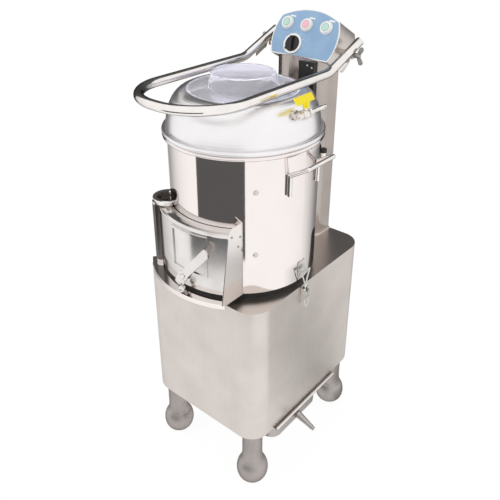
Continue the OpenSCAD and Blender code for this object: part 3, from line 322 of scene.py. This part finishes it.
def slab(width, height, thick):
    """Maker of a plate lying on the local X and Y axes, with a small bevel."""
    def make(bm):
        bmesh.ops.create_cube(bm, size=1.0, matrix=Matrix.Translation((0, 0, thick * MM / 2)) @
                              Matrix.Diagonal((width * MM, height * MM, thick * MM, 1)))
        bevel = min(width, height, thick) * 0.2 * MM
        bmesh.ops.bevel(bm, geom=bm.edges[:], offset=bevel, segments=2, affect="EDGES")
    return make


def screw_head(radius, height):
    """Maker of a domed screw head with a small flat top, which stands on the local XY plane."""
    steps = 20

    def make(bm):
        rings = []
        for part in (0, 0.35, 0.7, 0.95):
            r, z = radius * math.sqrt(1 - part * part), height * (0.3 + 0.7 * part)
            turns = [t * math.tau / steps for t in range(steps)]
            rings.append([bm.verts.new((r * math.cos(a) * MM, r * math.sin(a) * MM, z * MM)) for a in turns])
        foot = [bm.verts.new((v.co.x, v.co.y, 0)) for v in rings[0]]
        rings.insert(0, foot)
        for low, high in zip(rings, rings[1:]):
            for i in range(steps):
                bm.faces.new((low[i], low[(i + 1) % steps], high[(i + 1) % steps], high[i]))
        bm.faces.new(rings[-1])
        bm.faces.new(foot[::-1])
    return make


def turned(profile, steps=48, keep=None):
    """Maker of a shell turned from a profile of (radius, height) points, in millimetres.

    Where keep is given, a face stays only if keep says yes to each of its corners.
    """
    turns = [i * math.tau / steps for i in range(steps)]

    def make(bm):
        rings = [[bm.verts.new((r * math.cos(a) * MM, r * math.sin(a) * MM, z * MM)) for a in turns]
                 for r, z in profile]
        for low, high in zip(rings, rings[1:]):
            for i in range(steps):
                corners = (low[i], low[(i + 1) % steps], high[(i + 1) % steps], high[i])
                if keep is None or all(keep(v.co / MM) for v in corners):
                    bm.faces.new(corners).smooth = True
        bmesh.ops.delete(bm, geom=[v for v in bm.verts if not v.link_faces], context="VERTS")
    return make


def panel_matrix(x, up):
    """Frame on the front of the control panel: X to the right, Y up along it, Z out of it."""
    right = Vector((1, 0, 0))
    along = Vector((0, math.sin(PANEL_TILT), math.cos(PANEL_TILT)))
    away = Vector((0, -math.cos(PANEL_TILT), math.sin(PANEL_TILT)))
    made = Matrix((right, along, away)).transposed().to_4x4()
    made.translation = place(x, *PANEL_FOOT) + along * up * MM + away * PANEL_FACE * MM
    return made


def add_panel_marks():
    """Blank white name strips over the buttons, and tick marks round the timer's dial."""
    strip_right, strip_above, strip_turn = 12, 21.5, math.radians(-4)
    for i, x in enumerate(BUTTONS_X):
        matrix = panel_matrix(x + strip_right, BUTTONS_UP + strip_above) @ Matrix.Rotation(strip_turn, 4, "Z")
        solid("name_strip_%d" % (i + 1), slab(18, 4.5, 0.3), matrix, WHITE)
    tick_radius, first_tick, tick_step = 34.5, 240, 30
    x, up = DIAL_MIDDLE
    for i in range(11):
        turn = math.radians(first_tick - tick_step * i)
        on_dial = panel_matrix(x + tick_radius * math.cos(turn), up + tick_radius * math.sin(turn))
        solid("dial_tick_%d" % (i + 1), slab(4, 1, 0.2), on_dial @ Matrix.Rotation(turn, 4, "Z"), WHITE)


def add_screws():
    """Screw heads of the switch housing, and the small fasteners on the chute's cheek."""
    front = Matrix(((1, 0, 0), (0, 0, -1), (0, 1, 0))).to_4x4()
    for i, (x, z) in enumerate(SWITCH_SCREWS):
        front.translation = place(x, SWITCH_FACE_Y, z)
        solid("switch_screw_%d" % (i + 1), screw_head(2.8, 1.6), front.copy(), NICKEL)
    side = Matrix(((0, 0, 1), (1, 0, 0), (0, 1, 0))).to_4x4()
    for i, (y, z) in enumerate(CHEEK_SCREWS):
        side.translation = place(CHEEK_FACE_X, y, z)
        solid("cheek_screw_%d" % (i + 1), screw_head(3.2, 1.8), side.copy(), STEEL)


def add_hinge_sleeve():
    """Dark sleeve on the hinge barrel as a painted reflection, and the collar's rough inside darkened as
    painted shade, which stops at the drum's wall.
    """
    sleeve_radius, sleeve_height = 16.9, 178
    x, y = HINGE_REACH * math.cos(HINGE_ANGLE), HINGE_REACH * math.sin(HINGE_ANGLE)
    # the sleeve's dark tone is a painted reflection on the polished barrel
    solid("hinge_painted_reflection_sleeve", turned([(sleeve_radius, 0), (sleeve_radius, sleeve_height)]),
          Matrix.Translation(place(x, y, HINGE_FOOT)), SLEEVE, body="door")
    x, y = COLLAR_REACH * math.cos(COLLAR_ANGLE), COLLAR_REACH * math.sin(COLLAR_ANGLE)
    # the bore's dark lining is painted shade in the collar's hole, over its rough cast inside
    bore = turned([(0.5, 3.3), (21.6, 3.3), (22.6, 10.2), (24.6, 15.2), (29.6, 17.8)],
                  keep=lambda p: math.hypot(p.x + x, p.y + y) > DRUM_RADIUS + 0.6)
    # the collar's top is the top of the hinge pin's node
    _, pin_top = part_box("hinge_pin")
    bottom = pin_top.z / MM - COLLAR_HEIGHT
    solid("collar_bore_painted_shade", bore, Matrix.Translation(place(x, y, bottom)), BORE)


def add_drawer_roll():
    """Rolled outer edge of the drawer's lip: a polished bar with round ends, let into the sheet's edge."""
    low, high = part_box("peel_drawer")
    _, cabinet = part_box("cabinet_shell")
    past_cabinet, past_wing, below_top = 8, 7, 1
    start = Vector((cabinet.x + past_cabinet * MM, low.y + past_wing * MM, high.z - below_top * MM))
    length = (high.y - start.y) / MM
    round_end = [(0.1, 0), (2.6, 0.7), (3.7, 2.4), (4, 4.5)]
    roll = turned(round_end + [(r, length - z) for r, z in reversed(round_end)], steps=24)
    along_y = Matrix.Rotation(math.radians(-90), 4, "X")
    solid("drawer_roll", roll, Matrix.Translation(start) @ along_y, TUBE, body="drawer")


def card_glow(name):
    """Emission in the shade that the card's points carry."""
    mat = bpy.data.materials.new(name)
    mat.use_nodes = True
    tree = mat.node_tree
    tree.nodes.clear()
    shade = node(tree, "ShaderNodeAttribute", attribute_name="shade").outputs["Color"]
    glow = node(tree, "ShaderNodeEmission", {"Color": shade, "Strength": 1.0})
    out = tree.nodes.new("ShaderNodeOutputMaterial")
    tree.links.new(glow.outputs["Emission"], out.inputs["Surface"])
    return mat


def card(name, azimuth, width, low, high, value, first=None):
    """A studio card, curved round the machine and seen by reflections only.

    Azimuth 0 is +X and angles are in degrees. Low and high are the radius and height of its two edges, in
    metres. Its shade runs from first, at the lower azimuth, to value.
    """
    bm = bmesh.new()
    layer = bm.verts.layers.float_color.new("shade")
    steps = 24
    rows = []
    for i in range(steps + 1):
        a = math.radians(azimuth + width * (i / steps - 0.5))
        shade = value if first is None else first + (value - first) * i / steps
        rows.append([bm.verts.new(AXIS + Vector((r * math.cos(a), r * math.sin(a), z)))
                     for r, z in (low, high)])
        for vert in rows[-1]:
            vert[layer] = grey(shade)
    for left, right in zip(rows, rows[1:]):
        bm.faces.new((left[0], right[0], right[1], left[1]))
    mesh = bpy.data.meshes.new(name)
    bm.to_mesh(mesh)
    bm.free()
    obj = bpy.data.objects.new(name, mesh)
    bpy.context.scene.collection.objects.link(obj)
    mesh.materials.append(card_glow(name))
    for ray in ("camera", "diffuse", "shadow", "transmission", "volume_scatter"):
        setattr(obj, "visible_" + ray, False)


def looked_at(tree):
    """1 for what the camera sees, also reflected or through the window, and 0 for light on the object."""
    path = node(tree, "ShaderNodeLightPath")
    seen = node(tree, "ShaderNodeMath", {0: path.outputs["Is Camera Ray"], 1: path.outputs["Is Glossy Ray"]},
                operation="MAXIMUM")
    through = node(tree, "ShaderNodeMath", {0: seen.outputs["Value"], 1: path.outputs["Is Transmission Ray"]},
                   operation="MAXIMUM")
    return through.outputs["Value"]


def make_floor():
    """White floor that keeps the machine's shadow: mostly plain white for the camera and for reflections."""
    bpy.ops.mesh.primitive_plane_add(size=FLOOR_SIZE, location=(0, 0, 0))
    floor = bpy.context.object
    floor.name = "floor"
    mat = bpy.data.materials.new("studio_floor")
    mat.use_nodes = True
    tree = mat.node_tree
    tree.nodes.clear()
    lit = node(tree, "ShaderNodeBsdfDiffuse", {"Color": grey(FLOOR_COLOUR)})
    white = node(tree, "ShaderNodeEmission", {"Color": grey(1.0), "Strength": FLOOR_WHITE})
    share = node(tree, "ShaderNodeMath", {0: looked_at(tree), 1: FLOOR_WHITE_SHARE}, operation="MULTIPLY")
    mixed = node(tree, "ShaderNodeMixShader", {0: share.outputs["Value"], 1: lit.outputs["BSDF"],
                                               2: white.outputs["Emission"]})
    out = tree.nodes.new("ShaderNodeOutputMaterial")
    tree.links.new(mixed.outputs["Shader"], out.inputs["Surface"])
    floor.data.materials.append(mat)


def make_world():
    """White for the camera and for reflections, a softer level as light."""
    world = bpy.data.worlds.new("studio")
    bpy.context.scene.world = world
    world.use_nodes = True
    tree = world.node_tree
    tree.nodes.clear()
    strength = node(tree, "ShaderNodeMapRange", {"Value": looked_at(tree), "To Min": SKY_LIGHT,
                                                 "To Max": 1.0})
    sky = node(tree, "ShaderNodeBackground", {"Color": grey(1.0), "Strength": strength.outputs["Result"]})
    out = tree.nodes.new("ShaderNodeOutputWorld")
    tree.links.new(sky.outputs["Background"], out.inputs["Surface"])


def area_light(name, location, power):
    """Square soft lamp that looks at the middle of the machine and isn't seen in reflections."""
    middle, size = (0, 0, 0.8), 1.6
    data = bpy.data.lights.new(name, "AREA")
    data.size = size
    data.energy = power
    lamp = bpy.data.objects.new(name, data)
    bpy.context.scene.collection.objects.link(lamp)
    lamp.location = location
    lamp.visible_glossy = False
    aim = Vector(middle) - Vector(location)
    lamp.rotation_euler = aim.to_track_quat("-Z", "Y").to_euler()


def make_stage():
    """Floor, sky, two lamps, and the dark cards that the polished metal reflects."""
    make_floor()
    make_world()
    area_light("key", (-1.6, -2.4, 2.8), 38)
    area_light("fill", (2.6, 0.6, 2.4), 14)
    # the dark band on the drum is a reflection of this card, ahead of the machine and low
    card("card_front", -83.7, 71, (1.46, -0.05), (1.46, 0.62), 0.1)
    # the dark look of level surfaces and of the tubes' upper side is this card, behind the machine
    card("card_back", 128, 110, (2.6, 0.1), (2.3, 5.2), 0.1)
    # the right side of the cabinet reflects this card on the floor, darker towards the back
    card("card_right", 45, 66, (0.34, 0.003), (1.3, 0.003), 0.05, 1.0)
    # thin dark edges of the drum and the cabinet
    card("card_edge", 100, 100, (0.5, 0.004), (2.7, 0.004), 0.12, 1.0)


make_camera()
dress_nodes()
add_panel_marks()
add_screws()
add_hinge_sleeve()
add_drawer_roll()
make_stage()

bpy.context.scene.view_settings.view_transform = "Standard"
